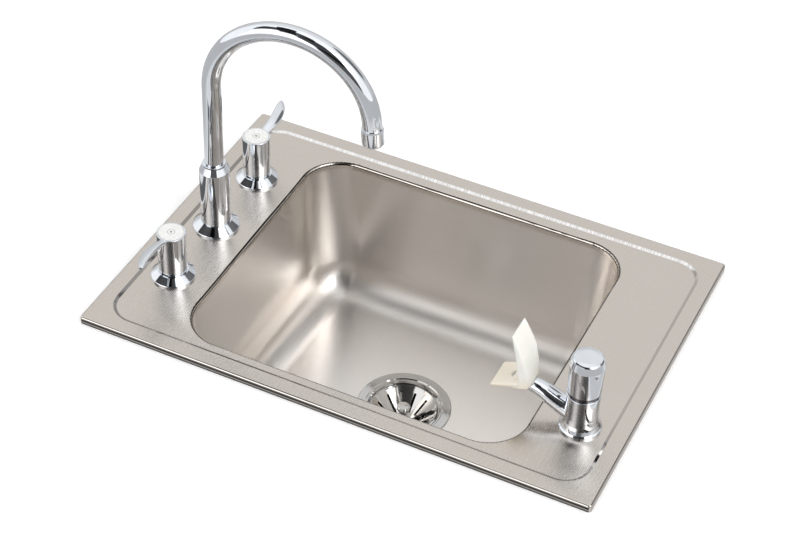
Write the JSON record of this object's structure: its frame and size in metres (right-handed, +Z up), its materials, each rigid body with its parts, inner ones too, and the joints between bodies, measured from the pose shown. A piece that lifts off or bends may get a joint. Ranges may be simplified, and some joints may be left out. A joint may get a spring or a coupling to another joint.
{
  "type": "drop-in sink",
  "caption": "Drop-in stainless sink with a coved bowl, gooseneck tap with lever handles, push-button drinking bubbler with mouth guard and basket drain.",
  "frame": {"origin": "centre of the rim on the counter plane, where the rim edge rests", "axes": "+X along the long side toward the bubbler end, +Y to the back, +Z up"},
  "size_m": [0.644, 0.446, 0.7022],
  "materials": {
    "brushed_steel": "long satin grain along the deck and round the bowl",
    "zinc_steel": "bright zinc plate",
    "polished_steel": "polished stainless",
    "brass": "as cast and machined",
    "chrome": "polished plate",
    "white_plastic": "gloss",
    "grey_plastic": "matt",
    "ivory_rubber": "smooth moulded elastomer",
    "black_rubber": "moulded",
    "fibre": "pressed fibre"
  },
  "bodies": {
    "sink": {"sink_pressing": "brushed_steel", "front_clip_rail": "zinc_steel", "rear_clip_rail": "zinc_steel", "left_clip_rail": "zinc_steel", "right_clip_rail": "zinc_steel", "sink_clips": "zinc_steel", "clip_screws": "zinc_steel", "deck_locknuts": "zinc_steel", "return_spring": "zinc_steel", "bubbler_locknut": "zinc_steel", "drain_cup": "polished_steel", "tap_body": "brass", "front_cartridge": "brass", "rear_cartridge": "brass", "drain_locknut": "brass", "slip_nut": "brass", "spout_flange": "chrome", "spout_sleeve": "chrome", "front_handle_flange": "chrome", "rear_handle_flange": "chrome", "bubbler_body": "chrome", "bubbler_cartridge": "chrome", "bubbler_nozzle": "chrome", "tailpiece": "chrome", "mouth_guard": "ivory_rubber", "drain_gasket": "black_rubber", "deck_gaskets": "black_rubber", "bubbler_washer": "black_rubber", "spout_o_rings": "black_rubber", "drain_washer": "fibre"},
    "spout": {"spout_tube": "chrome", "spout_neck_ring": "chrome", "spout_retainer": "brass", "aerator_shell": "chrome", "aerator_insert": "grey_plastic"},
    "front_tap": {"front_valve_stem": "brass", "front_handle": "chrome", "front_handle_screw": "zinc_steel", "front_index_cap": "white_plastic"},
    "rear_tap": {"rear_valve_stem": "brass", "rear_handle": "chrome", "rear_handle_screw": "zinc_steel", "rear_index_cap": "white_plastic"},
    "push_button": {"push_cap": "chrome", "push_set_screw": "zinc_steel", "push_disc": "chrome", "push_plunger": "brass"},
    "basket": {"strainer_basket": "polished_steel", "basket_stopper": "black_rubber"}
  },
  "joints": [
    {"name": "spout_swivel", "type": "hinge", "parent": "sink", "child": "spout", "pos_m": [-0.264, -0.0016, 0.0075], "axis": [0, 0, 1], "continuous": true},
    {"name": "front_handle_turn", "type": "hinge", "parent": "sink", "child": "front_tap", "pos_m": [-0.264, -0.1056, 0.0075], "axis": [0, 0, 1], "range_deg": [0, 90]},
    {"name": "rear_handle_turn", "type": "hinge", "parent": "sink", "child": "rear_tap", "pos_m": [-0.264, 0.1024, 0.0075], "axis": [0, 0, 1], "range_deg": [-90, 0]},
    {"name": "bubbler_push", "type": "slide", "parent": "sink", "child": "push_button", "axis": [0, 0, -1], "range_m": [0, 0.004], "stiffness_N_per_m": 2500, "springref_m": -0.006, "deforming": ["return_spring"]},
    {"name": "basket_lift", "type": "slide", "parent": "sink", "child": "basket", "axis": [0, 0, 1], "range_m": [0, 0.21]}
  ]
}
